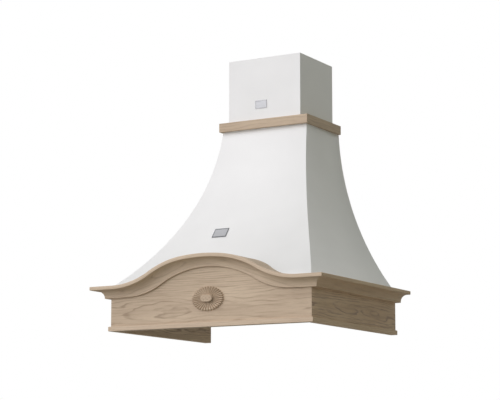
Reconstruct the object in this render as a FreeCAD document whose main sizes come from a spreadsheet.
import FreeCAD, Part
import math
import os
import re
import Sketcher

Vector = FreeCAD.Vector

# A wooden chimney hood that hangs on a wall: an arched wooden frame with a moulded cornice, a flared
# sheet canopy, a wooden collar and a telescopic chimney, with filters, lamps, controls and a blower inside.
# Frame: +X to the right, +Y towards the wall, +Z up. The origin is under the middle of the whole plan.

# ---------------------------------------------------------------- sizes, in millimetres
SIZES = {
    # whole hood
    "overall_width": 900,        # over the cornice
    "overall_depth": 678,        # wall to the cornice's nose
    "overall_height": 1000.3,    # bottom of the bead to the top of the chimney, pushed in
    # wooden frame
    "frame_height": 152.5,       # bottom of the bead to the flat top of the frame
    "board": 18,                 # thickness of the apron, side panels and rear rail
    "side_overhang": 60,         # cornice nose beyond the side panels
    "front_overhang": 46,        # cornice nose beyond the apron
    "cornice_height": 39.5,
    "nose_height": 12.5,
    "nose_ledge": 14,            # flat underside between the nose and the cove
    "nose_round": 1.5,
    "cove_radius": 24,
    "arch_half_width": 360,
    "arch_rise": 89.6,
    "arch_crown_radius": 652.5,
    "arch_shoulder_radius": 343.5,
    "arch_foot_radius": 293.5,
    "skirt_half_width": 320,     # the front moulding's lower edge has a steeper arch of its own
    "skirt_rise": 87.4,
    "skirt_crown_radius": 366,
    "skirt_shoulder_radius": 150,
    "skirt_foot_radius": 270,
    "skirt_seat": 1,             # flat ends of that arch above the foot of the moulding
    "cap_thickness": 9,          # board that closes the arch back to the canopy
    "bead_height": 16,
    "bead_projection": 7,
    "bead_round": 1.5,
    "rosette_width": 124,
    "rosette_height": 84,
    "rosette_relief": 8,
    "rosette_middle": 94,        # height of the rosette's centre
    "dish_depth": 5,
    "dish_floor": 4,             # flat floor of the dish round the boss
    "rosette_rim": 11,
    "boss_width": 45,
    "boss_height": 24,
    "boss_projection": 15,
    "boss_round": 5,
    # canopy, collar and chimney
    "canopy_inset": 1,           # canopy foot inside the frame's outer faces
    "canopy_height": 585.5,
    "canopy_top_width": 344,
    "canopy_top_depth": 249,
    "side_flare": 1045,
    "front_flare": 925,
    "sheet": 1.5,
    "seat_gap": 0.3,             # clearance between curved faces that meet
    "top_plate": 2,
    "cleat_length": 30,
    "cleat_spacing": 230,
    "collar_side_lap": 9,        # collar beyond the canopy's top
    "collar_front_lap": 14,
    "collar_side_board": 34,     # outer face of the collar to the chimney
    "collar_front_board": 13,
    "collar_height": 32,
    "chimney_lip": 18,           # flange turned in along the wall
    "telescope_gap": 0.6,
    "wall_bracket_height": 24,
    "wall_bracket_holes": 200,
    "wall_screw_hole": 5,        # diameter
    "badge_thickness": 1.2,
    "chimney_badge_width": 47,
    "chimney_badge_height": 29,
    "chimney_badge_x": -13,
    "chimney_badge_z": 829,
    "canopy_badge_width": 56,
    "canopy_badge_height": 33,   # measured upright
    "canopy_badge_x": -74,
    "canopy_badge_z": 345,
    # insert pan with filters, lamps and controls
    "insert_height": 75,         # underside of the pan above the bottom of the frame
    "pan_rim": 22,
    "pan_gap": 0.3,
    "rail_bottom": 80,
    "rail_top": 148,
    "rail_bolt_hole": 9,         # diameter
    "rail_bolt_span": 560,
    "rail_bolt_rise": 26,
    "rail_bolt_middle": 125,
    "batten_width": 20,
    "batten_height": 40,
    "corner_block": 26,
    "filter_thickness": 8,
    "filter_gap": 2,             # running gap under the pan
    "filter_spacing": 12,        # between the two filters
    "filter_from_side": 48,      # frame's inner face to the filter
    "filter_from_wall": 110,
    "filter_from_controls": 90,
    "filter_bar": 16,
    "filter_overlap": 10,        # the pan laps over the filter's edges
    "mesh_thickness": 4,
    "mesh_groove": 4,
    "filter_pin_radius": 2,
    "filter_pin_length": 5,
    "running_clearance": 0.05,
    "ear_thickness": 2,
    "handle_width": 56,
    "handle_drop": 20,
    "handle_wire": 3.6,
    "lug_size": 8,
    "lug_thickness": 5,
    "magnet_length": 30,
    "magnet_width": 10,
    "magnet_spacing": 160,
    "lamp_radius": 30,
    "lamp_bezel": 6,
    "lamp_bezel_height": 3,
    "lamp_height": 36,
    "lamp_wall": 3,
    "lens_thickness": 3,
    "lamp_from_side": 132,
    "controls_from_front": 94,   # back of the apron to the middle of the buttons
    "fascia_width": 184,
    "fascia_depth": 40,
    "fascia_thickness": 4,
    "switch_depth": 26,
    "switch_height": 25,
    "button_width": 18,
    "button_depth": 12,
    "button_spacing": 32,
    "button_drop": 5,            # button face below the fascia
    "button_flange": 2,
    "button_travel": 2.5,
    "button_clearance": 0.3,
    "screw_radius": 2,
    "screw_length": 14,
    "screw_head": 4,
    "screw_head_height": 2.5,
    "screw_clearance": 0.1,
    "screw_spacing": 210,
    "terminal_width": 110,
    "terminal_depth": 60,
    "terminal_height": 45,
    "terminal_from_side": 132,
    "gland_radius": 9,
    "gland_bore": 8,             # diameter
    "gland_height": 18,
    # blower and duct
    "member_width": 25,
    "member_height": 25,
    "member_clearance": 3,       # between the members and the scroll
    "wheel_radius": 80,
    "wheel_width": 110,
    "wheel_disc": 2,
    "blade_depth": 15,
    "blade_thickness": 1.2,
    "blade_lean": 30,            # degrees
    "blade_count": 32,
    "hub_radius": 14,
    "hub_length": 22,
    "shaft_radius": 4,
    "motor_radius": 48,
    "motor_length": 60,
    "motor_wall": 5,
    "scroll_radius": 92,         # smallest inside radius of the scroll
    "scroll_step": 14,           # growth of the scroll at each quarter turn
    "scroll_width": 140,
    "scroll_clearance": 8,       # under the scroll, above the frame of the insert
    "inlet_radius": 62,
    "outlet_depth": 80,
    "outlet_height": 110,        # scroll outlet above the wheel's axis
    "plenum_size": 160,
    "plenum_height": 40,
    "duct_radius": 75,
    "duct_wall": 1,
    "spigot_length": 40,         # pipe above its rolled bead
    "bead_reach": 3,             # rolled bead beyond the pipe
    "rolled_height": 4,
    "duct_from_wall": 125,
    "duct_above_collar": 28,
    "duct_clearance": 1,
    "damper_height": 25,         # flap pins above the foot of the duct
    "flap_radius": 72,
    "flap_thickness": 1.2,
    "flap_pin_radius": 1.5,
    "flap_barrel": 3,
    "flap_spread": 4,
    "seat_width": 6,
}

# Places and sizes that follow from the ones above, as formulas of them.
DERIVED = {
    "wall": "overall_depth / 2",
    "face": "front_overhang - overall_depth / 2",
    "apron_depth": "overall_depth - front_overhang",
    "tip_y": "face - front_overhang",
    "tip_x": "half + side_overhang",
    "half": "overall_width / 2 - side_overhang",
    "inner": "half - board",
    "apron_back": "face + board",
    "canopy_foot": "frame_height + seat_gap",
    "canopy_top": "canopy_foot + canopy_height",
    "foot_half": "half - canopy_inset",
    "foot_depth": "apron_depth - canopy_inset",
    "top_half": "canopy_top_width / 2",
    "side_chord": "sqrt((foot_half - top_half) ^ 2 + canopy_height ^ 2)",
    "side_rise": "sqrt(side_flare ^ 2 - side_chord ^ 2 / 4)",
    "side_cx": "(foot_half + top_half) / 2 + side_rise * canopy_height / side_chord",
    "side_cz": "canopy_foot + canopy_height / 2 + side_rise * (foot_half - top_half) / side_chord",
    "front_chord": "sqrt((foot_depth - canopy_top_depth) ^ 2 + canopy_height ^ 2)",
    "front_rise": "sqrt(front_flare ^ 2 - front_chord ^ 2 / 4)",
    "front_cd": "(foot_depth + canopy_top_depth) / 2 + front_rise * canopy_height / front_chord",
    "front_cz": "canopy_foot + canopy_height / 2 + front_rise * (foot_depth - canopy_top_depth) / front_chord",
    "cap_floor": "front_cz - sqrt((front_flare - seat_gap) ^ 2 - (front_cd - apron_depth + board) ^ 2)",
    "collar_foot": "canopy_top + top_plate",
    "collar_half": "canopy_top_width / 2 + collar_side_lap",
    "collar_front": "wall - canopy_top_depth - collar_front_lap",
    "chimney_half": "collar_half - collar_side_board",
    "chimney_front": "collar_front + collar_front_board",
    "chimney_top": "overall_height",
    "pan_top": "insert_height + sheet",
    "batten_foot": "insert_height + pan_rim + pan_gap",
    "batten_top": "batten_foot + batten_height",
    "member_top": "batten_top + member_height",
    "filter_width": "inner - filter_from_side - filter_spacing / 2",
    "filter_rear": "wall - filter_from_wall",
    "filter_front": "controls_y + filter_from_controls",
    "filter_top": "insert_height - filter_gap",
    "filter_foot": "filter_top - filter_thickness",
    "filter_pin_z": "filter_top - filter_thickness / 2",
    "filter_pin_y": "filter_rear - filter_thickness / 2",
    "controls_y": "apron_back + controls_from_front",
    "lamp_offset": "inner - lamp_from_side",
    "terminal_x": "inner - terminal_from_side",
    "fascia_foot": "insert_height - fascia_thickness",
    "duct_y": "wall - duct_from_wall",
    "scroll_second": "scroll_radius + scroll_step",
    "scroll_third": "scroll_radius + 2 * scroll_step",
    "outlet_rear": "duct_y + outlet_depth / 2",
    "outlet_front": "duct_y - outlet_depth / 2",
    "wheel_y": "outlet_rear - scroll_third - scroll_step",
    "wheel_z": "batten_top + scroll_clearance + scroll_second",
    "scroll_top": "wheel_z + outlet_height",
    "scroll_half": "scroll_width / 2",
    "scroll_foot_y": "wheel_y + scroll_step",
    "front_chord_at_member": "sqrt(scroll_second ^ 2 - (wheel_z - member_top) ^ 2)",
    "rear_chord_at_member": "sqrt(scroll_third ^ 2 - (wheel_z + scroll_step - member_top) ^ 2)",
    "button_travel_top": "insert_height + button_flange + button_travel + button_clearance",
    "duct_foot": "scroll_top + plenum_height",
    "duct_top": "collar_foot + collar_height + duct_above_collar",
    "pin_z": "duct_foot + damper_height",
}

doc = FreeCAD.newDocument("range_hood")
sheet = doc.addObject("Spreadsheet::Sheet", "Sizes")
for row, (alias, number) in enumerate(SIZES.items(), start=1):
    sheet.set(f"A{row}", alias)
    sheet.set(f"B{row}", str(number))
    sheet.setAlias(f"B{row}", alias)
doc.recompute()

parts = []


# ---------------------------------------------------------------- formulas
def formula(text):
    """Spell out the derived names in a formula and point every size at the sheet."""
    def spell(match):
        word = match.group(0)
        if word in DERIVED:
            return f"({formula(DERIVED[word])})"
        return f"Sizes.{word}" if word in SIZES else word
    return re.sub(r"[a-z_]+", spell, str(text))


def value(text):
    """The number that a formula gives with the sheet's present sizes."""
    return float(sheet.evalExpression(formula(text)))


def bind(target, prop, text):
    target.setExpression(prop, formula(text))


def side_at(height, inset="0"):
    """Half width of the canopy at a height, on the surface that lies inset inside its outer one."""
    return f"(side_cx - sqrt((side_flare + ({inset})) ^ 2 - (({height}) - side_cz) ^ 2))"


def front_at(height, inset="0"):
    """Y of the canopy's front at a height, on the surface that lies inset inside its outer one."""
    return f"(wall - front_cd + sqrt((front_flare + ({inset})) ^ 2 - (({height}) - front_cz) ^ 2))"


# ---------------------------------------------------------------- solids
def part(label, solid):
    """Name a finished piece and list it for writing out."""
    solid.Label = label
    parts.append(solid)
    return solid


def box(x, y, z):
    """A block between a low and a high formula along each axis."""
    block = doc.addObject("Part::Box", "Block")
    for size, place, (low, high) in (("Length", "x", x), ("Width", "y", y), ("Height", "z", z)):
        bind(block, size, f"({high}) - ({low})")
        bind(block, f"Placement.Base.{place}", low)
    return block


TURNS = {
    "x": FreeCAD.Rotation(Vector(0, 1, 0), 90),
    "y": FreeCAD.Rotation(Vector(1, 0, 0), -90),
    "z": FreeCAD.Rotation(),
}


def rod(axis, x, y, z, radius, length):
    """A cylinder that starts at x, y, z and runs along an axis."""
    cylinder = doc.addObject("Part::Cylinder", "Rod")
    cylinder.Placement = FreeCAD.Placement(Vector(), TURNS[axis])
    bind(cylinder, "Radius", radius)
    bind(cylinder, "Height", length)
    for place, text in (("x", x), ("y", y), ("z", z)):
        bind(cylinder, f"Placement.Base.{place}", text)
    return cylinder


def join(*solids):
    fuse = doc.addObject("Part::MultiFuse", "Joined")
    fuse.Shapes = list(solids)
    return fuse


def cut(base, *tools):
    result = doc.addObject("Part::Cut", "Cut")
    result.Base = base
    result.Tool = tools[0] if len(tools) == 1 else join(*tools)
    return result


def common(base, tool):
    result = doc.addObject("Part::Common", "Shared")
    result.Base = base
    result.Tool = tool
    return result


def group(solids):
    """Identical separate pieces kept together."""
    compound = doc.addObject("Part::Compound", "Group")
    compound.Links = list(solids)
    return compound


def new_body(plane):
    """A body with an empty sketch on one of its own origin planes."""
    body = doc.addObject("PartDesign::Body", "Body")
    sketch = body.newObject("Sketcher::SketchObject", "Sketch")
    support = [feature for feature in body.Origin.OriginFeatures if feature.Role == f"{plane}_Plane"][0]
    sketch.AttachmentSupport = [(support, "")]
    sketch.MapMode = "FlatFace"
    return body, sketch


def pin_point(sketch, edge, end, x, y):
    """Hold one end of an edge at a place given by two formulas."""
    for kind, text in (("DistanceX", x), ("DistanceY", y)):
        index = sketch.addConstraint(Sketcher.Constraint(kind, -1, 1, edge, end, value(text)))
        bind(sketch, f"Constraints[{index}]", text)


def arc_between(start, end, radius, bend):
    """An arc edge from start to end. A bend of 1 turns left along the way, and -1 turns right."""
    chord = end - start
    height = math.sqrt(radius ** 2 - chord.Length ** 2 / 4)
    centre = (start + end) / 2 + Vector(-chord.y, chord.x, 0) / chord.Length * height * bend
    first, last = (start, end) if bend > 0 else (end, start)
    angles = [math.atan2(point.y - centre.y, point.x - centre.x) for point in (first, last)]
    return Part.ArcOfCircle(Part.Circle(centre, Vector(0, 0, 1), radius), angles[0], angles[1])


def draw_loop(sketch, corners):
    """A closed outline. A corner is (x, y) or (x, y, radius, bend) when an arc leaves it."""
    points = [Vector(value(corner[0]), value(corner[1]), 0) for corner in corners]
    edges = []
    for number, corner in enumerate(corners):
        start = points[number]
        end = points[(number + 1) % len(points)]
        if len(corner) == 2:
            edges.append((sketch.addGeometry(Part.LineSegment(start, end), False), 1, 2))
            continue
        bend = corner[3]
        edge = sketch.addGeometry(arc_between(start, end, value(corner[2]), bend), False)
        edges.append((edge, 1, 2) if bend > 0 else (edge, 2, 1))
        index = sketch.addConstraint(Sketcher.Constraint("Radius", edge, value(corner[2])))
        bind(sketch, f"Constraints[{index}]", corner[2])
    for number, (edge, start, end) in enumerate(edges):
        following = edges[(number + 1) % len(edges)]
        sketch.addConstraint(Sketcher.Constraint("Coincident", edge, end, following[0], following[1]))
        pin_point(sketch, edge, start, corners[number][0], corners[number][1])


def pad_between(body, sketch, plane, low, high):
    """Raise a body's sketch to a solid that lies between two formulas along the plane's normal."""
    pad = body.newObject("PartDesign::Pad", "Pad")
    pad.Profile = sketch
    bind(pad, "Length", f"({high}) - ({low})")
    place, start = {"XY": ("z", low), "XZ": ("y", high), "YZ": ("x", low)}[plane]
    bind(body, f"Placement.Base.{place}", start)
    return body


def slab(plane, corners, low, high):
    """A closed outline raised between two formulas."""
    body, sketch = new_body(plane)
    draw_loop(sketch, corners)
    return pad_between(body, sketch, plane, low, high)


# ---------------------------------------------------------------- arch
def arch_line(drop):
    """The arch of the frame's top edge, a drop below it: flat height, rise, half width and radii."""
    radii = [f"arch_foot_radius + ({drop})", f"arch_shoulder_radius - ({drop})", f"arch_crown_radius - ({drop})"]
    return f"(frame_height - ({drop}))", "arch_rise", "arch_half_width", radii


def skirt_line():
    """The arch of the front moulding's lower edge, in the same form."""
    radii = ["skirt_foot_radius", "skirt_shoulder_radius", "skirt_crown_radius"]
    return "(frame_height - cornice_height + skirt_seat)", "skirt_rise", "skirt_half_width", radii


def draw_arch(sketch, line, reach):
    """An arch's line, out to a reach on each side.

    It runs flat, through a foot, a shoulder and the crown, and down again: five arcs that are
    tangent to each other and to the flat ends. Returns its first and last edge.
    """
    base, rise, half_width, radii = line
    foot, shoulder, crown = [value(radius) for radius in radii]
    low = value(base)
    top = low + value(rise)
    edge_of_flat = value(half_width)
    crown_centre = Vector(0, top - crown, 0)
    foot_centre = Vector(edge_of_flat, low + foot, 0)
    link = foot_centre - crown_centre
    near, far = crown - shoulder, shoulder + foot
    opening = math.acos((near ** 2 + link.Length ** 2 - far ** 2) / (2 * near * link.Length))
    bearing = math.atan2(link.y, link.x) + opening
    shoulder_centre = crown_centre + Vector(math.cos(bearing), math.sin(bearing), 0) * near
    to_foot = (foot_centre - shoulder_centre).normalize()
    knots = [
        Vector(value(reach), low, 0),
        Vector(edge_of_flat, low, 0),
        shoulder_centre + to_foot * shoulder,
        crown_centre + (shoulder_centre - crown_centre).normalize() * crown,
    ]
    left = [Vector(-knot.x, knot.y, 0) for knot in knots]
    right = list(reversed(knots))
    first = sketch.addGeometry(Part.LineSegment(left[0], left[1]), False)
    ends = [(first, 1, 2)]
    path = left[1:] + right[:-1]
    arcs = [(foot, 1, 0), (shoulder, -1, 1), (crown, -1, 2), (shoulder, -1, 1), (foot, 1, 0)]
    for number, (radius, bend, which) in enumerate(arcs):
        edge = sketch.addGeometry(arc_between(path[number], path[number + 1], radius, bend), False)
        ends.append((edge, 1, 2) if bend > 0 else (edge, 2, 1))
        index = sketch.addConstraint(Sketcher.Constraint("Radius", edge, radius))
        bind(sketch, f"Constraints[{index}]", radii[which])
    last = sketch.addGeometry(Part.LineSegment(right[-2], right[-1]), False)
    ends.append((last, 1, 2))
    for before, after in zip(ends, ends[1:]):
        sketch.addConstraint(Sketcher.Constraint("Tangent", before[0], before[2], after[0], after[1]))
    pin_point(sketch, first, 1, f"-({reach})", base)
    pin_point(sketch, last, 2, reach, base)
    for edge, end, side in ((first, 2, "-"), (last, 1, "")):
        number = sketch.addConstraint(
            Sketcher.Constraint("DistanceX", -1, 1, edge, end, value(f"{side}{half_width}")))
        bind(sketch, f"Constraints[{number}]", f"{side}{half_width}")
        sketch.addConstraint(Sketcher.Constraint("Horizontal", edge))
    crown_edge = ends[3][0]
    pin_point(sketch, crown_edge, 3, "0", f"{base} + {rise} - ({radii[2]})")
    return first, last


def arch_slab(line, floor, reach, low, high):
    """All that lies under an arch's line, down to a floor."""
    body, sketch = new_body("XZ")
    first, last = draw_arch(sketch, line, reach)
    corners = [Vector(value(reach), value(height), 0) for height in (line[0], floor)]
    corners += [Vector(-corner.x, corner.y, 0) for corner in reversed(corners)]
    edges = [sketch.addGeometry(Part.LineSegment(*pair), False) for pair in zip(corners, corners[1:])]
    for (before, end), after in zip(((last, 2), (edges[0], 2), (edges[1], 2)), edges):
        sketch.addConstraint(Sketcher.Constraint("Coincident", before, end, after, 1))
    sketch.addConstraint(Sketcher.Constraint("Coincident", edges[2], 2, first, 1))
    pin_point(sketch, edges[1], 1, reach, floor)
    pin_point(sketch, edges[1], 2, f"-({reach})", floor)
    return pad_between(body, sketch, "XZ", low, high)


# ---------------------------------------------------------------- wooden frame
ABOVE = "frame_height + 2 * arch_rise"


def make_boards():
    """Front apron with its arched top and the two side panels, mitred at the front corners."""
    plan = [("-half", "face"), ("half", "face"), ("inner", "apron_back"), ("-inner", "apron_back")]
    blank = slab("XY", plan, "bead_height", ABOVE)
    part("front_apron", common(blank, arch_slab(arch_line("0"), "0", "tip_x", "tip_y", "0")))
    for label, sign in (("side_panel_left", "-"), ("side_panel_right", "")):
        outline = [(f"{sign}half", "face"), (f"{sign}half", "wall"), (f"{sign}inner", "wall"),
                   (f"{sign}inner", "apron_back")]
        panel = slab("XY", outline, "bead_height", "frame_height")
        part(label, cut(panel, *pan_screws("screw_radius + screw_clearance", sign)))


def make_bead():
    """The bead under the boards: its round edge stands out from their faces."""
    front = [("-(half + bead_projection)", "face - bead_projection"),
             ("half + bead_projection", "face - bead_projection"),
             ("inner", "apron_back"), ("-inner", "apron_back")]
    profile = edge_profile("YZ", "face - bead_projection", "apron_back", 1)
    part("bead_front", common(slab("XY", front, "0", "bead_height"), profile))
    for label, sign, turn in (("bead_left", "-", 1), ("bead_right", "", -1)):
        plan = [(f"{sign}(half + bead_projection)", "face - bead_projection"),
                (f"{sign}(half + bead_projection)", "wall"), (f"{sign}inner", "wall"),
                (f"{sign}inner", "apron_back")]
        profile = edge_profile("XZ", f"{sign}(half + bead_projection)", f"{sign}inner", turn)
        part(label, common(slab("XY", plan, "0", "bead_height"), profile))


def edge_profile(plane, outer, inside, turn):
    """A strip one bead high whose outer edge is rounded above and below."""
    away = "+" if turn > 0 else "-"
    corners = [
        (f"{outer} {away} bead_round", "0"),
        (inside, "0"),
        (inside, "bead_height"),
        (f"{outer} {away} bead_round", "bead_height", "bead_round", turn),
        (outer, "bead_height - bead_round"),
        (outer, "bead_round", "bead_round", turn),
    ]
    reach = "tip_x" if plane == "YZ" else "wall"
    return slab(plane, corners, f"-({reach})", reach)


def moulding_section(tip, inside, away):
    """Outline across the cornice, from the nose's tip inwards. away is the way in, + or -."""
    bend = 1 if away == "+" else -1
    top = "frame_height"
    return [
        (inside, top),
        (f"{tip} {away} nose_round", top, "nose_round", bend),
        (tip, f"{top} - nose_round"),
        (tip, f"{top} - nose_height + nose_round", "nose_round", bend),
        (f"{tip} {away} nose_round", f"{top} - nose_height"),
        (f"{tip} {away} nose_ledge", f"{top} - nose_height", "cove_radius", -bend),
        (f"{tip} {away} (nose_ledge + cove_radius)", f"{top} - nose_height - cove_radius"),
        (f"{tip} {away} (nose_ledge + cove_radius)", f"{top} - cornice_height"),
        (inside, f"{top} - cornice_height"),
    ]


def make_cornice():
    """The moulding: two straight returns and a front that follows the arch, mitred at the corners.

    The front's flat foot is widened down to the skirt's arch, so it is deepest on the flanks.
    """
    body, path = new_body("XZ")
    draw_arch(path, arch_line("0"), "tip_x")
    section = body.newObject("Sketcher::SketchObject", "Section")
    plane = [feature for feature in body.Origin.OriginFeatures if feature.Role == "YZ_Plane"][0]
    section.AttachmentSupport = [(plane, "")]
    section.MapMode = "FlatFace"
    bind(section, "AttachmentOffset.Base.z", "-tip_x")
    draw_loop(section, moulding_section("tip_y", "face", "+"))
    doc.recompute()
    pipe = body.newObject("PartDesign::AdditivePipe", "Pipe")
    pipe.Profile = section
    pipe.Spine = path
    pipe.Mode = "Standard"
    miters = []
    for sign in ("-", ""):
        plan = [(f"{sign}tip_x", "tip_y"), (f"{sign}(tip_x - front_overhang)", "face"),
                (f"{sign}(tip_x + board)", "face"), (f"{sign}(tip_x + board)", "tip_y")]
        miters.append(slab("XY", plan, "0", ABOVE))
    strip = ("half", "face - (front_overhang - nose_ledge - cove_radius)", "face")
    skirt = cut(arch_slab(arch_line("(nose_height + cove_radius + cornice_height) / 2"), "0", *strip),
                arch_slab(skirt_line(), "-board", *strip))
    part("cornice_front", cut(join(body, skirt), *miters))
    for label, sign, away in (("cornice_left", "-", "+"), ("cornice_right", "", "-")):
        run = slab("XZ", moulding_section(f"{sign}tip_x", f"{sign}half", away), "tip_y", "wall")
        plan = [(f"{sign}tip_x", "tip_y"), (f"{sign}(tip_x - front_overhang)", "face"),
                (f"{sign}inner", "face"), (f"{sign}inner", "tip_y - board"), (f"{sign}tip_x", "tip_y - board")]
        part(label, cut(run, slab("XY", plan, "0", "frame_height + board")))


def make_cap():
    """The board that carries on the top of the arch from the apron back to the canopy."""
    strip = cut(arch_slab(arch_line("0"), "0", "half", "apron_back", "0"),
                arch_slab(arch_line("cap_thickness"), "0", "tip_x", "apron_back - board", "board"))
    crown = common(strip, box(("-half", "half"), ("apron_back", "0"), ("cap_floor", ABOVE)))
    part("arch_cap", cut(crown, canopy_front_volume("-seat_gap")))


def make_rosette():
    """Carved oval ornament: a dished rim with a long boss standing out of its middle."""
    def oval(width, height, y):
        ellipse = doc.addObject("Part::Ellipse", "Oval")
        ellipse.Placement = FreeCAD.Placement(Vector(), FreeCAD.Rotation(Vector(1, 0, 0), 90))
        bind(ellipse, "MajorRadius", f"({width}) / 2")
        bind(ellipse, "MinorRadius", f"({height}) / 2")
        bind(ellipse, "Placement.Base.y", y)
        bind(ellipse, "Placement.Base.z", "rosette_middle")
        return ellipse

    def loft(*ovals):
        skin = doc.addObject("Part::Loft", "Skin")
        skin.Sections = list(ovals)
        skin.Solid = True
        skin.Ruled = True
        return skin

    front = "face - rosette_relief"
    plate = loft(oval("rosette_width", "rosette_height", "face"),
                 oval("rosette_width", "rosette_height", f"{front} + rosette_relief / 2"),
                 oval("rosette_width - rosette_relief", "rosette_height - rosette_relief", front))
    dish = loft(oval("rosette_width - 2 * rosette_rim", "rosette_height - 2 * rosette_rim", front),
                oval("boss_width + 2 * dish_floor", "boss_height + 2 * dish_floor", f"{front} + dish_depth"))
    part("rosette_ring", cut(plate, dish))
    body, sketch = new_body("XZ")
    flat, round_end = "(boss_width - boss_height) / 2", "boss_height / 2"
    draw_loop(sketch, [
        (f"-{flat}", f"rosette_middle - {round_end}"),
        (flat, f"rosette_middle - {round_end}", round_end, 1),
        ("boss_width / 2", "rosette_middle", round_end, 1),
        (flat, f"rosette_middle + {round_end}"),
        (f"-{flat}", f"rosette_middle + {round_end}", round_end, 1),
        ("-boss_width / 2", "rosette_middle", round_end, 1),
    ])
    pad_between(body, sketch, "XZ", "face - boss_projection", f"{front} + dish_depth")
    doc.recompute()
    post = body.Tip
    tip = post.Shape.BoundBox.YMin
    rim = [f"Edge{number}" for number, edge in enumerate(post.Shape.Edges, start=1)
           if all(abs(vertex.Y - tip) < 0.01 for vertex in edge.Vertexes)]
    rounding = body.newObject("PartDesign::Fillet", "Rounding")
    rounding.Base = (post, rim)
    bind(rounding, "Radius", "boss_round")
    part("rosette_boss", body)


def make_inner_woodwork():
    """Rear rail on the wall, battens for the blower's members and blocks in the front corners."""
    holes = []
    for sign in ("-", ""):
        for way in ("-", "+"):
            holes.append(rod("y", f"{sign}rail_bolt_span / 2", "wall - 2 * board",
                             f"rail_bolt_middle {way} rail_bolt_rise / 2", "rail_bolt_hole / 2", "3 * board"))
    rail = box(("-inner", "inner"), ("wall - board", "wall"), ("rail_bottom", "rail_top"))
    part("rear_rail", cut(rail, *holes))
    block = box(("-inner", "corner_block - inner"), ("apron_back", "apron_back + corner_block"),
                ("batten_foot", "frame_height - seat_gap"))
    other = box(("inner - corner_block", "inner"), ("apron_back", "apron_back + corner_block"),
                ("batten_foot", "frame_height - seat_gap"))
    part("corner_block_left", block)
    part("corner_block_right", other)
    for label, low, high in (("batten_left", "-inner", "batten_width - inner"),
                             ("batten_right", "inner - batten_width", "inner")):
        part(label, box((low, high), ("apron_back + corner_block", "wall - board"),
                        ("batten_foot", "batten_top")))


# ---------------------------------------------------------------- canopy
def canopy_side_volume(inset):
    """All that lies between the canopy's two flared sides, from the wall forwards."""
    right = [side_at("canopy_foot", inset), side_at("canopy_top", inset)]
    left = [f"-{edge}" for edge in right]
    corners = [
        (left[0], "canopy_foot"),
        (right[0], "canopy_foot", f"side_flare + ({inset})", -1),
        (right[1], "canopy_top"),
        (left[1], "canopy_top", f"side_flare + ({inset})", -1),
    ]
    return slab("XZ", corners, "tip_y", "wall")


def canopy_front_volume(inset):
    """All that lies behind the canopy's flared front, out past both sides."""
    corners = [
        (front_at("canopy_foot", inset), "canopy_foot"),
        ("wall", "canopy_foot"),
        ("wall", "canopy_top"),
        (front_at("canopy_top", inset), "canopy_top", f"front_flare + ({inset})", -1),
    ]
    return slab("YZ", corners, "-tip_x", "tip_x")


def make_canopy():
    """Front sheet cut round the arch, two side sheets, the top plate and the cleats that hold them."""
    front = cut(common(canopy_side_volume("0"), canopy_front_volume("0")), canopy_front_volume("sheet"))
    below = arch_slab(arch_line("-seat_gap"), "0", "tip_x", "tip_y", "apron_back + seat_gap")
    part("canopy_front", cut(front, below))
    sides = cut(common(canopy_side_volume("0"), canopy_front_volume("sheet")), canopy_side_volume("sheet"))
    for label, x in (("canopy_left", ("-tip_x", "0")), ("canopy_right", ("0", "tip_x"))):
        part(label, common(sides, box(x, ("tip_y", "wall"), ("0", "canopy_top"))))
    plate = box(("-top_half", "top_half"), ("wall - canopy_top_depth", "wall"), ("canopy_top", "collar_foot"))
    hole = rod("z", "0", "duct_y", "canopy_top - board", "duct_radius + duct_clearance", "2 * board")
    part("canopy_top_plate", cut(plate, hole))
    cleats = []
    for x in (("-inner", "sheet - inner"), ("inner - sheet", "inner")):
        for step in ("-1", "0", "1"):
            middle = f"(wall + apron_back) / 2 + ({step}) * cleat_spacing"
            cleats.append(box(x, (f"{middle} - cleat_length / 2", f"{middle} + cleat_length / 2"),
                              ("batten_top", cleat_top())))
    part("canopy_cleats", group(cleats))


def cleat_top():
    """Height at which the canopy's inner face crosses the side panels' inner face, less a seat gap."""
    return "(side_cz - sqrt((side_flare + sheet) ^ 2 - (side_cx - inner) ^ 2) - 2 * seat_gap)"


def make_collar():
    """Wooden collar round the chimney's foot, mitred at the front corners."""
    inside = "chimney_half + seat_gap"
    edge = "chimney_front - seat_gap"
    z = ("collar_foot", "collar_foot + collar_height")
    plan = [("-collar_half", "collar_front"), ("collar_half", "collar_front"),
            (inside, edge), (f"-({inside})", edge)]
    part("collar_front", slab("XY", plan, *z))
    for label, sign in (("collar_left", "-"), ("collar_right", "")):
        plan = [(f"{sign}collar_half", "collar_front"), (f"{sign}collar_half", "wall"),
                (f"{sign}({inside})", "wall"), (f"{sign}({inside})", edge)]
        part(label, slab("XY", plan, *z))


# ---------------------------------------------------------------- chimney
def channel(inset, low, high):
    """A chimney section: front and two sides of bent sheet with narrow flanges along the wall."""
    def ring(depth):
        half = f"chimney_half - ({inset}) - ({depth})"
        return [(f"-({half})", f"chimney_front + ({inset}) + ({depth})"),
                (half, f"chimney_front + ({inset}) + ({depth})")]
    outer, hollow = ring("0"), ring("sheet")
    back = f"wall - ({inset})"
    half, bore = outer[1][0], hollow[1][0]
    lip = f"({half}) - chimney_lip"
    corners = [
        outer[0], outer[1], (half, back), (lip, back), (lip, f"{back} - sheet"), (bore, f"{back} - sheet"),
        hollow[1], hollow[0], (f"-({bore})", f"{back} - sheet"), (f"-({lip})", f"{back} - sheet"),
        (f"-({lip})", back), (f"-({half})", back),
    ]
    return slab("XY", corners, low, high)


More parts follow.
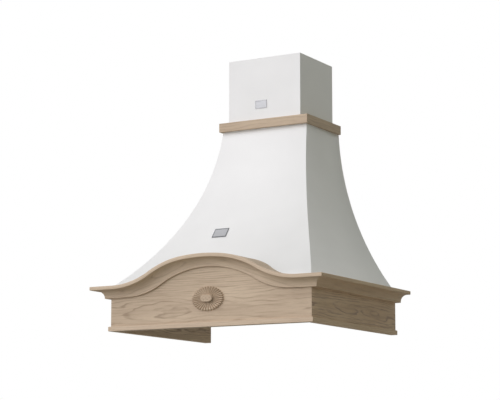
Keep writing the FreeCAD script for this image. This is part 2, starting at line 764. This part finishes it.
def make_chimney():
    """Outer chimney on the canopy, inner section that slides up out of it, and the inner one's wall bracket."""
    part("chimney_lower", channel("0", "collar_foot", "chimney_top"))
    inset = "sheet + telescope_gap"
    part("chimney_upper", channel(inset, "collar_foot + seat_gap", "chimney_top"))
    half = f"chimney_half - ({inset}) - sheet - seat_gap"
    back = f"wall - ({inset}) - sheet"
    plate = box((f"-({half})", half), (f"{back} - sheet", back),
                ("chimney_top - 2 * wall_bracket_height", "chimney_top - wall_bracket_height"))
    height = "chimney_top - 1.5 * wall_bracket_height"
    holes = [rod("y", f"{sign}wall_bracket_holes / 2", "wall - board", height, "wall_screw_hole / 2", "board")
             for sign in ("-", "")]
    part("chimney_bracket", cut(plate, *holes))


def make_badges():
    """Two plain plates, one on the chimney and one bent to the canopy's curve."""
    half = "chimney_badge_width / 2"
    part("chimney_badge", box((f"chimney_badge_x - {half}", f"chimney_badge_x + {half}"),
                              ("chimney_front - badge_thickness", "chimney_front"),
                              ("chimney_badge_z - chimney_badge_height / 2",
                               "chimney_badge_z + chimney_badge_height / 2")))
    half = "canopy_badge_width / 2"
    blank = box((f"canopy_badge_x - {half}", f"canopy_badge_x + {half}"), ("tip_y", "wall"),
                ("canopy_badge_z - canopy_badge_height / 2", "canopy_badge_z + canopy_badge_height / 2"))
    plate = cut(common(blank, canopy_front_volume("-seat_gap - badge_thickness")),
                canopy_front_volume("-seat_gap"))
    part("canopy_badge", plate)


# ---------------------------------------------------------------- insert
def filter_span(side):
    """Low and high x of a filter, -1 for the left one and 1 for the right one."""
    edges = ["filter_spacing / 2", "filter_spacing / 2 + filter_width"]
    return tuple(edges) if side > 0 else (f"-({edges[1]})", f"-({edges[0]})")


def pan_screws(radius, sign, head=False):
    """Shanks (or whole screws) through the pan's rim into one side panel."""
    solids = []
    height = "insert_height + pan_rim / 2"
    wall_side = "inner - pan_gap - sheet"
    for place in ("-1", "0", "1"):
        y = f"(wall + apron_back) / 2 + ({place}) * screw_spacing"
        start = f"-({wall_side}) - screw_length" if sign else wall_side
        shank = rod("x", start, y, height, radius, "screw_length")
        if not head:
            solids.append(shank)
            continue
        start = f"-({wall_side})" if sign else f"{wall_side} - screw_head_height"
        solids.append(join(shank, rod("x", start, y, height, "screw_head", "screw_head_height")))
    return solids


def make_pan():
    """Sheet pan that closes the frame from below, with openings for filters, lamps and controls."""
    x = "inner - pan_gap"
    front, rear = "apron_back + pan_gap", "wall - board - pan_gap"
    outer = box((f"-({x})", x), (front, rear), ("insert_height", "insert_height + pan_rim"))
    hollow = box((f"sheet - ({x})", f"{x} - sheet"), (f"{front} + sheet", f"{rear} - sheet"),
                 ("pan_top", "insert_height + 2 * pan_rim"))
    tools = [hollow]
    for side in (-1, 1):
        low, high = filter_span(side)
        tools.append(box((f"{low} + filter_overlap", f"{high} - filter_overlap"),
                         ("filter_front + filter_overlap", "filter_rear - filter_overlap"),
                         ("insert_height - sheet", "pan_top + sheet")))
        tools.append(rod("z", f"{side} * lamp_offset", "controls_y", "insert_height - sheet",
                         "lamp_radius + seat_gap", "3 * sheet"))
    slot = "(4 * button_spacing + button_width) / 2 + 2 * fascia_thickness + seat_gap"
    tools.append(box((f"-({slot})", slot), ("controls_y - switch_depth / 2 - seat_gap",
                                            "controls_y + switch_depth / 2 + seat_gap"),
                     ("insert_height - sheet", "pan_top + sheet")))
    for sign in ("-", ""):
        tools.extend(pan_screws("screw_radius + screw_clearance", sign))
    tray = cut(outer, *tools)
    ears, bores = [], []
    for side in (-1, 1):
        low, high = filter_span(side)
        for place in (f"{low} - 1.5 * ear_thickness", f"{high} + 0.5 * ear_thickness"):
            ears.append(box((place, f"{place} + ear_thickness"),
                            ("filter_pin_y - filter_thickness / 2", "filter_pin_y + filter_thickness / 2"),
                            ("filter_pin_z - filter_thickness / 2", "insert_height")))
            bores.append(rod("x", f"{place} - sheet", "filter_pin_y", "filter_pin_z",
                             "filter_pin_radius + running_clearance", "ear_thickness + 2 * sheet"))
    part("insert_pan", cut(join(tray, *ears), *bores))
    screws = [screw for sign in ("-", "") for screw in pan_screws("screw_radius", sign, head=True)]
    part("pan_screws", group(screws))


def make_filter(name, side):
    """A grease filter: its frame with hinge pins and handle lugs, its mesh and its drop handle."""
    low, high = filter_span(side)
    frame = box((low, high), ("filter_front", "filter_rear"), ("filter_foot", "filter_top"))
    opening = box((f"{low} + filter_bar", f"{high} - filter_bar"),
                  ("filter_front + filter_bar", "filter_rear - filter_bar"),
                  ("filter_foot - sheet", "filter_top + sheet"))
    inside = "filter_bar - mesh_groove"
    middle = "(filter_foot + filter_top) / 2"
    mesh_box = ((f"{low} + {inside}", f"{high} - ({inside})"),
                (f"filter_front + {inside}", f"filter_rear - ({inside})"),
                (f"{middle} - mesh_thickness / 2", f"{middle} + mesh_thickness / 2"))
    groove = box(*mesh_box)
    pins = [rod("x", f"{low} - filter_pin_length", "filter_pin_y", "filter_pin_z", "filter_pin_radius",
                "filter_pin_length + filter_bar / 2"),
            rod("x", f"{high} - filter_bar / 2", "filter_pin_y", "filter_pin_z", "filter_pin_radius",
                "filter_pin_length + filter_bar / 2")]
    centre = f"({low} + {high}) / 2"
    y = "filter_front + filter_bar / 2"
    z = "filter_foot - lug_size / 2"
    lugs, bores = [], []
    for way in ("-", "+"):
        place = f"{centre} {way} handle_width / 2 - lug_thickness / 2"
        lugs.append(box((place, f"{place} + lug_thickness"), (f"{y} - lug_size / 2", f"{y} + lug_size / 2"),
                        ("filter_foot - lug_size", "filter_foot")))
        bores.append(rod("x", f"{place} - sheet", y, z, "handle_wire / 2 + running_clearance",
                         "lug_thickness + 2 * sheet"))
    part(f"filter_frame_{name}", cut(join(cut(frame, opening, groove), *pins, *lugs), *bores))
    part(f"filter_mesh_{name}", box(*mesh_box))
    half = "handle_width / 2 - lug_thickness / 2 - handle_wire"
    wire = []
    for way in ("-", "+"):
        leg = f"{centre} {way} ({half})"
        wire.append(rod("z", leg, y, f"{z} - handle_drop", "handle_wire / 2", "handle_drop"))
        start = f"{leg} - handle_wire - lug_thickness" if way == "-" else leg
        wire.append(rod("x", start, y, z, "handle_wire / 2", "handle_wire + lug_thickness"))
        for height in (z, f"{z} - handle_drop"):
            bend = doc.addObject("Part::Sphere", "Bend")
            bind(bend, "Radius", "handle_wire / 2")
            for axis, text in (("x", leg), ("y", y), ("z", height)):
                bind(bend, f"Placement.Base.{axis}", text)
            wire.append(bend)
    wire.append(rod("x", f"{centre} - ({half})", y, f"{z} - handle_drop", "handle_wire / 2", f"2 * ({half})"))
    part(f"filter_handle_{name}", join(*wire))


def make_magnets():
    """Magnets under the pan that hold the filters' front bars."""
    magnets = []
    for side in (-1, 1):
        low, high = filter_span(side)
        for way in ("-", "+"):
            x = f"({low} + {high}) / 2 {way} magnet_spacing / 2"
            magnets.append(box((f"{x} - magnet_length / 2", f"{x} + magnet_length / 2"),
                               ("filter_front", "filter_front + magnet_width"),
                               ("filter_top + seat_gap", "insert_height")))
    part("filter_magnets", group(magnets))


def make_lamp(name, side):
    """A lamp: a cup with a bezel under the pan, and its lens."""
    x = f"{side} * lamp_offset"
    foot = "insert_height - lamp_bezel_height"
    cup = join(rod("z", x, "controls_y", foot, "lamp_radius + lamp_bezel", "lamp_bezel_height"),
               rod("z", x, "controls_y", foot, "lamp_radius", "lamp_height"))
    bore = "lamp_radius - lamp_wall"
    part(f"lamp_{name}", cut(cup, rod("z", x, "controls_y", f"{foot} - sheet", bore,
                                      "lamp_height + sheet - lamp_wall")))
    part(f"lamp_lens_{name}", rod("z", x, "controls_y", f"{foot} + sheet / 2", f"{bore} - screw_clearance",
                                  "lens_thickness"))


BUTTONS = ["light_button", "stop_button", "speed_button_low", "speed_button_middle", "speed_button_high"]


def make_controls():
    """The control fascia with its switch block above the pan, and five push buttons."""
    span = "(4 * button_spacing + button_width) / 2 + 2 * fascia_thickness"
    plate = box(("-fascia_width / 2", "fascia_width / 2"),
                ("controls_y - fascia_depth / 2", "controls_y + fascia_depth / 2"),
                ("fascia_foot", "insert_height"))
    block = box((f"-({span})", span), ("controls_y - switch_depth / 2", "controls_y + switch_depth / 2"),
                ("insert_height", "insert_height + switch_height"))
    tools = []
    for number, label in enumerate(BUTTONS):
        x = f"({number - 2}) * button_spacing"
        wide, deep = "button_width / 2", "button_depth / 2"
        gap = "button_clearance"
        tools.append(box((f"{x} - {wide} - {gap}", f"{x} + {wide} + {gap}"),
                         (f"controls_y - {deep} - {gap}", f"controls_y + {deep} + {gap}"),
                         ("fascia_foot - sheet", "insert_height + sheet")))
        tools.append(box((f"{x} - {wide} - {gap} - button_flange", f"{x} + {wide} + {gap} + button_flange"),
                         (f"controls_y - {deep} - {gap} - button_flange",
                          f"controls_y + {deep} + {gap} + button_flange"),
                         ("insert_height", "button_travel_top")))
        cap = box((f"{x} - {wide}", f"{x} + {wide}"), (f"controls_y - {deep}", f"controls_y + {deep}"),
                  ("fascia_foot - button_drop", "insert_height + button_flange"))
        flange = box((f"{x} - {wide} - button_flange", f"{x} + {wide} + button_flange"),
                     (f"controls_y - {deep} - button_flange", f"controls_y + {deep} + button_flange"),
                     ("insert_height", "insert_height + button_flange"))
        part(label, join(cap, flange))
    part("control_fascia", cut(join(plate, block), *tools))


def make_terminals():
    """Terminal box on the pan and the gland that its supply cable comes out of."""
    y = ("wall - board - pan_rim - terminal_depth", "wall - board - pan_rim")
    half = "terminal_width / 2"
    middle = f"({y[0]} + {y[1]}) / 2"
    top = "pan_top + terminal_height"
    lid = box((f"terminal_x - {half}", f"terminal_x + {half}"), y, ("pan_top", top))
    hollow = box((f"terminal_x - {half} + 2 * sheet", f"terminal_x + {half} - 2 * sheet"),
                 (f"{y[0]} + 2 * sheet", f"{y[1]} - 2 * sheet"), ("pan_top + 2 * sheet", f"{top} - 2 * sheet"))
    part("terminal_box", cut(lid, hollow, rod("z", "terminal_x", middle, f"{top} - board / 2",
                                              "gland_radius - sheet", "board")))
    flange = rod("z", "terminal_x", middle, top, "gland_radius", "gland_height")
    neck = rod("z", "terminal_x", middle, f"{top} - 2 * sheet", "gland_radius - sheet - screw_clearance",
               "gland_height")
    bore = rod("z", "terminal_x", middle, f"{top} - board", "gland_bore / 2", "2 * board + gland_height")
    part("cable_gland", cut(join(flange, neck), bore))


# ---------------------------------------------------------------- blower
def scroll_slab(inset, low, high):
    """The blower's spiral outline, an inset inside its outer skin, with its outlet going up."""
    top = "wheel_z + scroll_radius"
    radii = [f"{radius} - ({inset})" for radius in ("scroll_radius", "scroll_second", "scroll_third")]
    crown = f"scroll_top + ({inset})" if inset != "0" else "scroll_top"
    corners = [
        (f"outlet_front + ({inset})", crown),
        (f"outlet_front + ({inset})", f"{top} - ({inset})"),
        ("wheel_y", f"{top} - ({inset})", radii[0], 1),
        (f"wheel_y - scroll_radius + ({inset})", "wheel_z", radii[1], 1),
        ("scroll_foot_y", f"wheel_z - scroll_second + ({inset})", radii[2], 1),
        (f"scroll_foot_y + scroll_third - ({inset})", "wheel_z + scroll_step"),
        (f"outlet_rear - ({inset})", crown),
    ]
    return slab("YZ", corners, low, high)


def make_blower():
    """Members across the battens, scroll housing, motor, shaft and wheel."""
    members = []
    reach = "inner - sheet - 2 * pan_gap"
    for y in ("scroll_foot_y - front_chord_at_member - member_clearance - member_width",
              "scroll_foot_y + rear_chord_at_member + member_clearance"):
        bar = box((f"-({reach})", reach), (y, f"{y} + member_width"), ("batten_top", "member_top"))
        members.append(cut(bar, box(("-inner", "inner"), (f"{y} + sheet", f"{y} + member_width - sheet"),
                                    ("batten_top - sheet", "member_top - sheet"))))
    part("cross_members", group(members))
    skin = scroll_slab("0", "-scroll_half", "scroll_half")
    lugs = box(("-scroll_half", "scroll_half"), ("wheel_y - scroll_radius", "outlet_rear"),
               ("member_top", "member_top + 2 * sheet"))
    cavity = scroll_slab("sheet", "sheet - scroll_half", "scroll_half - sheet")
    inlet = rod("x", "-scroll_half - board", "wheel_y", "wheel_z", "inlet_radius", "2 * board")
    eye = rod("x", "scroll_half - board", "wheel_y", "wheel_z", "hub_radius", "2 * board")
    part("scroll_housing", cut(join(skin, lugs), cavity, inlet, eye))
    case = rod("x", "scroll_half", "wheel_y", "wheel_z", "motor_radius", "motor_length")
    bore = rod("x", "scroll_half - sheet", "wheel_y", "wheel_z", "shaft_radius + running_clearance",
               "motor_length + sheet - motor_wall")
    part("motor", cut(case, bore))
    back = "wheel_width / 2"
    part("motor_shaft", rod("x", f"{back} - hub_length", "wheel_y", "wheel_z", "shaft_radius",
                            f"scroll_half - {back} + hub_length + motor_length - 2 * motor_wall"))
    make_wheel(back)


def make_wheel(back):
    """Blower wheel: back disc with its hub, front ring and leaning blades between them."""
    disc = rod("x", f"{back} - wheel_disc", "wheel_y", "wheel_z", "wheel_radius", "wheel_disc")
    hub = rod("x", f"{back} - hub_length", "wheel_y", "wheel_z", "hub_radius", "hub_length")
    ring = cut(rod("x", f"-{back}", "wheel_y", "wheel_z", "wheel_radius", "wheel_disc"),
               rod("x", f"-{back} - wheel_disc", "wheel_y", "wheel_z", "wheel_radius - blade_depth",
                   "3 * wheel_disc"))
    blades = doc.addObject("Part::Feature", "Blades")
    length, depth = value("wheel_width - wheel_disc"), value("blade_depth")
    radius, thick = value("wheel_radius"), value("blade_thickness")
    axis = Vector(0, value("wheel_y"), value("wheel_z"))
    shapes = []
    for number in range(int(value("blade_count"))):
        blade = Part.makeBox(length, thick, depth, Vector(-value(back), -thick / 2, radius - depth - thick))
        blade.rotate(Vector(0, 0, radius - depth), Vector(1, 0, 0), value("blade_lean"))
        blade.rotate(Vector(), Vector(1, 0, 0), 360 * number / value("blade_count"))
        blade.translate(axis)
        shapes.append(blade)
    blades.Shape = Part.makeCompound(shapes)
    wheel = join(disc, hub, ring, blades)
    bore = rod("x", f"-{back}", "wheel_y", "wheel_z", "shaft_radius + running_clearance / 2", "2 * wheel_width")
    part("blower_wheel", cut(wheel, bore))


def make_duct():
    """Outlet box on the scroll, duct pipe up into the chimney, and the two flaps of its damper."""
    half = "plenum_size / 2"
    shell = box((f"-{half}", half), (f"duct_y - {half}", f"duct_y + {half}"), ("scroll_top", "duct_foot"))
    hollow = box((f"sheet - {half}", f"{half} - sheet"),
                 (f"duct_y - {half} + sheet", f"duct_y + {half} - sheet"),
                 ("scroll_top + sheet", "duct_foot - sheet"))
    inlet = box(("sheet - scroll_half", "scroll_half - sheet"), ("outlet_front + sheet", "outlet_rear - sheet"),
                ("scroll_top - sheet", "scroll_top + 2 * sheet"))
    outlet = rod("z", "0", "duct_y", "duct_foot - 2 * sheet", "duct_radius - duct_wall", "3 * sheet")
    part("outlet_box", cut(shell, hollow, inlet, outlet))
    pipe = cut(rod("z", "0", "duct_y", "duct_foot", "duct_radius", "duct_top - duct_foot"),
               rod("z", "0", "duct_y", "duct_foot - sheet", "duct_radius - duct_wall",
                   "duct_top - duct_foot + 2 * sheet"))
    seat_top = "pin_z - flap_thickness / 2 - seat_gap"
    seat = cut(rod("z", "0", "duct_y", f"{seat_top} - sheet", "duct_radius - duct_wall / 2", "sheet"),
               rod("z", "0", "duct_y", f"{seat_top} - 2 * sheet", "duct_radius - duct_wall - seat_width",
                   "4 * sheet"))
    pins = [rod("y", f"{side} * flap_spread", "duct_y - duct_radius + duct_wall / 2", "pin_z",
                "flap_pin_radius", "2 * duct_radius - duct_wall") for side in (-1, 1)]
    height = "duct_top - spigot_length - rolled_height"
    bead = cut(rod("z", "0", "duct_y", height, "duct_radius + bead_reach", "rolled_height"),
               rod("z", "0", "duct_y", f"{height} - sheet", "duct_radius - duct_wall / 2",
                   "rolled_height + 2 * sheet"))
    part("duct_pipe", join(pipe, seat, bead, *pins))
    for name, side in (("left", -1), ("right", 1)):
        disc = rod("z", "0", "duct_y", "pin_z - flap_thickness / 2", "flap_radius", "flap_thickness")
        x = ("-duct_radius", "-flap_spread") if side < 0 else ("flap_spread", "duct_radius")
        leaf = common(disc, box(x, ("duct_y - duct_radius", "duct_y + duct_radius"),
                                ("pin_z - sheet", "pin_z + sheet")))
        barrel = rod("y", f"{side} * flap_spread", "duct_y - flap_radius + seat_width", "pin_z", "flap_barrel",
                     "2 * (flap_radius - seat_width)")
        bore = rod("y", f"{side} * flap_spread", "duct_y - duct_radius", "pin_z",
                   "flap_pin_radius + running_clearance", "2 * duct_radius")
        part(f"damper_flap_{name}", cut(join(leaf, barrel), bore))


# ---------------------------------------------------------------- build and write
make_boards()
make_bead()
make_cornice()
make_cap()
make_rosette()
make_inner_woodwork()
make_canopy()
make_collar()
make_chimney()
make_badges()
make_pan()
make_filter("left", -1)
make_filter("right", 1)
make_magnets()
make_lamp("left", -1)
make_lamp("right", 1)
make_controls()
make_terminals()
make_blower()
make_duct()
doc.recompute()

for item in doc.Objects:
    if {"Invalid", "Error"} & set(item.State):
        raise RuntimeError(f"{item.Name} ({item.Label}) failed: {item.State}")
for item in parts:
    if item.Shape.isNull() or not item.Shape.isValid() or not item.Shape.Solids:
        raise RuntimeError(f"{item.Label} has no valid solid")

os.makedirs("parts", exist_ok=True)
for item in parts:
    item.Shape.exportStep(f"parts/{item.Label}.step")
    box_size = item.Shape.BoundBox
    print(f"{item.Label}: {len(item.Shape.Solids)} solid(s), {item.Shape.Volume / 1000:.1f} cm3,"
          f" {box_size.XLength:.1f} x {box_size.YLength:.1f} x {box_size.ZLength:.1f} mm")
print(len(parts), "pieces")
